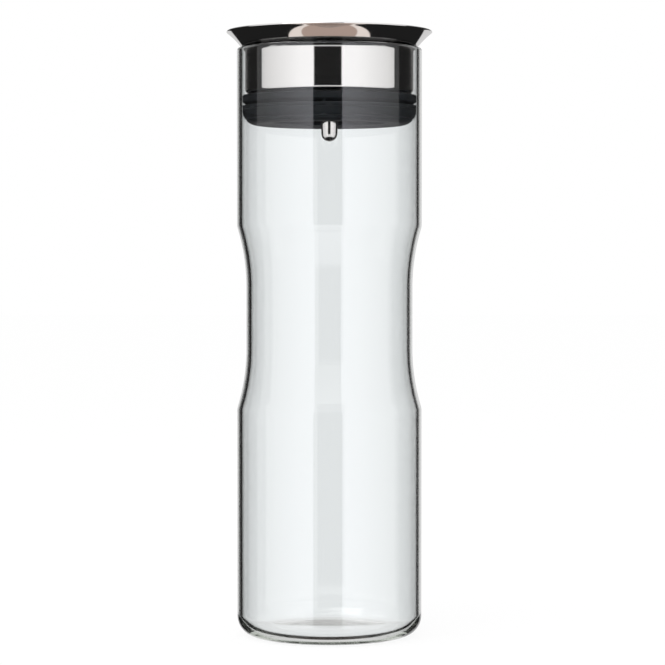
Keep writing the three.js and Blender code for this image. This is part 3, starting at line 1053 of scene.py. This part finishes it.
class SurroundSheet(NodeSheet):
    """A world's nodes, with sockets that say where a ray goes and what it has met."""

    def __init__(self, world: bpy.types.World) -> None:
        """Adds the sockets, with angles in degrees from the camera round the object and above the horizon.

        Args:
            world: The world.
        """
        super().__init__(world.node_tree)
        x, y, z = self.add("SeparateXYZ", i0=self.add("TexCoord").outputs["Generated"]).outputs
        turn = self.math("ARCTAN2", self.math("ABSOLUTE", x), self.math("MULTIPLY", y, -1.0))
        self.angle = self.math("DEGREES", turn)
        self.right = self.math("GREATER_THAN", x, 0.0)
        self.rise = self.math("DEGREES", self.math("ARCSINE", z))
        self.path = self.add("LightPath").outputs


@dataclass(frozen=True)
class SetSide:
    """One side of the set, in degrees from the camera round the object."""

    lens_gap: float
    softbox_end: float
    backdrop_start: float


@dataclass
class Studio:
    """White set: a pale floor, a white surround with two softboxes and dark flags, and the camera."""

    camera_distance: float = 1.292
    camera_height: float = 0.192
    camera_side: float = 0.0016
    camera_pitch: float = 1.594
    lens: float = 135.69
    sensor: float = 36.0
    bounces: int = 24
    floor_size: float = 16.0
    floor_drop: float = 0.1 * MM
    floor_colour: Colour = (0.95, 0.95, 0.95, 1.0)
    floor_glow: float = 0.92
    lamp_size: float = 1.2
    lamp_power: float = 12.0
    lamp_place: tuple[float, float, float] = (-0.5, -0.7, 1.6)
    lamp_aim: tuple[float, float, float] = (0.0, 0.0, 0.15)

    # The upright set
    left: SetSide = SetSide(lens_gap=20.4, softbox_end=101.6, backdrop_start=161.0)
    right: SetSide = SetSide(lens_gap=16.2, softbox_end=96.5, backdrop_start=156.0)
    set_edge: float = 0.6
    softbox: Ramp = Ramp(40.0, 105.0, 1.06, 0.76)

    # Faces of glass that the light has passed
    seen_in_air: Ramp = Ramp(0.4, 0.6, 1.0, 0.0)
    seen_on_front: Ramp = Ramp(2.4, 2.6, 1.0, 0.0)

    # What steel and glass mirror
    mirrored_backdrop: float = 0.68
    mirrored_flag: float = 0.014
    mirrored_foot: Ramp = Ramp(-46.0, -38.0)
    mirrored_ceiling: Ramp = Ramp(10.0, 52.0)
    glint: Ramp = Ramp(18.0, 92.0, 2.16, 0.1)
    glint_end: Ramp = Ramp(120.0, 121.0, 1.0, 0.0)
    glint_cool: Ramp = Ramp(92.0, 120.0, 1.0, 0.0)
    glint_colour: Colour = (0.98, 0.98, 1.07, 1.0)
    front_table: Ramp = Ramp(80.0, 88.0, 0.8, 0.0)
    front_table_far: Ramp = Ramp(-14.0, -10.0, 1.0, 0.0)
    front_table_near: Ramp = Ramp(-50.0, -44.0)
    table_edge: Ramp = Ramp(40.0, 124.0, -64.5, -77.5)
    table_blur: Ramp = Ramp(-0.5, 0.5, 1.0, 0.0)
    table_colour: Colour = (0.443, 0.34, 0.291, 1.0)
    ring_edge: Ramp = Ramp(77.0, 122.0, -55.0, -74.0)
    ring_blur: Ramp = Ramp(-0.7, 0.7, 1.0, 0.0)
    ring_colour: Colour = (0.85, 0.77, 0.72, 1.0)

    # What is seen through the glass
    passed_backdrop: float = 0.9
    passed_flag: float = 0.68
    passed_floor: Ramp = Ramp(-11.0, -8.5, 0.9, 0.0)
    passed_ceiling: Ramp = Ramp(34.0, 48.0, 0.0, 0.9)
    passed_colour: Colour = (0.966, 1.0, 1.012, 1.0)

    def _set_level(self, sheet: SurroundSheet, backdrop_level: float) -> Socket:
        """Brightness of the upright set round the object.

        Args:
            sheet: The world's sheet.
            backdrop_level: Brightness of the backdrop.

        Returns:
            The brightness socket.
        """
        edge = self.set_edge
        sides = zip(astuple(self.left), astuple(self.right))
        bounds = [sheet.span(sheet.right, 0.0, 1.0, *side) for side in sides]
        past_gap, past_box, past_flag = (sheet.math("SUBTRACT", sheet.angle, bound) for bound in bounds)
        opened = sheet.span(past_gap, -edge, edge)
        shut = sheet.span(past_box, -edge, edge, 1.0, 0.0)
        softbox = sheet.math("MULTIPLY", opened, shut, sheet.ramp(sheet.angle, self.softbox))
        backdrop = sheet.span(past_flag, -edge, edge, 0.0, backdrop_level)
        return sheet.math("MAXIMUM", softbox, backdrop)

    def _mirrored(self, sheet: SurroundSheet) -> Socket:
        """The set as steel and glass mirror it.

        Args:
            sheet: The world's sheet.

        Returns:
            The colour socket.
        """
        angle, rise, passes = sheet.angle, sheet.rise, sheet.path["Transmission Depth"]
        upright = self._set_level(sheet, self.mirrored_backdrop)
        in_air = sheet.ramp(passes, self.seen_in_air)
        on_glass = sheet.math("SUBTRACT", sheet.ramp(passes, self.seen_on_front), in_air)
        glint = sheet.math("SUBTRACT", sheet.ramp(angle, self.glint), 1.0)
        glint = sheet.math("MULTIPLY", glint, sheet.ramp(angle, self.glint_end), on_glass)
        upright = sheet.math("MULTIPLY", upright, sheet.math("ADD", 1.0, glint))
        upright = sheet.math("MULTIPLY", upright, sheet.ramp(rise, self.mirrored_foot))
        ceiling = sheet.ramp(rise, self.mirrored_ceiling)
        front = sheet.math("MULTIPLY", sheet.ramp(angle, self.front_table),
                           sheet.ramp(rise, self.front_table_far), sheet.ramp(rise, self.front_table_near))
        level = sheet.math("MAXIMUM", upright, self.mirrored_flag, ceiling, front)
        cool = sheet.math("MULTIPLY", on_glass, sheet.ramp(angle, self.glint_cool))
        lit = sheet.tinted(sheet.blend(cool, WHITE, self.glint_colour), level)
        near = sheet.math("SUBTRACT", rise, sheet.ramp(angle, self.table_edge))
        table = sheet.blend(sheet.ramp(near, self.table_blur), self.ring_colour, self.table_colour)
        far = sheet.math("SUBTRACT", rise, sheet.ramp(angle, self.ring_edge))
        below = sheet.math("MULTIPLY", in_air, sheet.ramp(far, self.ring_blur))
        return sheet.blend(below, lit, table)

    def _passed(self, sheet: SurroundSheet) -> Socket:
        """The set as it is seen through the glass.

        Args:
            sheet: The world's sheet.

        Returns:
            The colour socket.
        """
        level = sheet.math("MAXIMUM", self._set_level(sheet, self.passed_backdrop), self.passed_flag)
        level = sheet.math("MINIMUM", level, self.passed_backdrop)
        ends = [sheet.ramp(sheet.rise, end) for end in (self.passed_floor, self.passed_ceiling)]
        return sheet.tinted(self.passed_colour, sheet.math("MAXIMUM", level, *ends))

    def _surround(self) -> None:
        """Builds the world: white to the camera and to dull surfaces, a studio set to steel and glass."""
        world = bpy.data.worlds.new("studio_surround")
        bpy.context.scene.world = world
        world.use_nodes = True
        sheet = SurroundSheet(world)
        is_mirrored = sheet.math("GREATER_THAN", sheet.path["Glossy Depth"], 0.5)
        light = sheet.blend(is_mirrored, self._passed(sheet), self._mirrored(sheet))
        light = sheet.blend(sheet.path["Is Diffuse Ray"], light, WHITE)
        light = sheet.blend(sheet.path["Is Camera Ray"], light, WHITE)
        background = sheet.add("Background", Color=light, Strength=1.0)
        sheet.link(background.outputs[0], sheet.add("OutputWorld"), "Surface")

    def _floor(self) -> None:
        """Lays the pale floor, which keeps the soft shadow of the object."""
        bm = bmesh.new()
        bmesh.ops.create_grid(bm, x_segments=1, y_segments=1, size=self.floor_size / 2)
        bmesh.ops.translate(bm, verts=bm.verts, vec=(0.0, 0.0, -self.floor_drop))
        floor = finish_mesh(bm, "pale_floor")
        material, sheet, output = new_material("pale_floor")
        lit = sheet.add("BsdfDiffuse", Color=self.floor_colour)
        glow = sheet.add("Emission", Color=WHITE, Strength=1.0)
        share = sheet.math("MULTIPLY", sheet.add("LightPath").outputs["Is Camera Ray"], self.floor_glow)
        mix = sheet.add("MixShader", i0=share, i1=lit.outputs[0], i2=glow.outputs[0])
        sheet.link(mix.outputs[0], output, "Surface")
        floor.data.materials.append(material)
        floor.visible_glossy = False
        floor.visible_transmission = False

    def _lamp(self) -> None:
        """Hangs one wide soft lamp above and in front."""
        data = bpy.data.lights.new("overhead_softbox", "AREA")
        data.shape = "SQUARE"
        data.size = self.lamp_size
        data.energy = self.lamp_power
        lamp = bpy.data.objects.new("overhead_softbox", data)
        lamp.location = self.lamp_place
        lamp.rotation_euler = (Vector(self.lamp_aim) - lamp.location).to_track_quat("-Z", "Y").to_euler()
        bpy.context.scene.collection.objects.link(lamp)

    def _camera(self) -> None:
        """Sets the camera at the viewing angle of the picture."""
        data = bpy.data.cameras.new("camera")
        data.lens = self.lens
        data.sensor_width = self.sensor
        camera = bpy.data.objects.new("camera", data)
        camera.location = (self.camera_side, -self.camera_distance, self.camera_height)
        camera.rotation_euler = (math.radians(90.0 - self.camera_pitch), 0.0, 0.0)
        bpy.context.scene.collection.objects.link(camera)
        bpy.context.scene.camera = camera

    def build(self) -> None:
        """Sets up camera, surround, floor and lamp, with bounces enough for light held in the thick base."""
        bpy.context.scene.view_settings.view_transform = "Standard"
        cycles = bpy.context.scene.cycles
        cycles.max_bounces = self.bounces
        cycles.glossy_bounces = self.bounces
        cycles.transmission_bounces = self.bounces
        self._camera()
        self._surround()
        self._floor()
        self._lamp()


def main() -> None:
    """Builds the studio and the carafe's looks."""
    logging.basicConfig(level=logging.INFO, format="%(name)s: %(message)s")
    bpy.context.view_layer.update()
    Studio().build()
    effects = SharedEffects()
    finishes = {
        Slot.GLASS: ClearGlass().material(effects),
        Slot.STEEL: PolishedSteel().material(effects),
        Slot.SILICONE: SILICONE.material(effects),
        Slot.PLASTIC: PLASTIC.material(effects),
    }
    GlassVessel().build(finishes)
    PouringLid().build(finishes)
    TiltingCap().build(finishes)


if __name__ == "__main__":
    main()
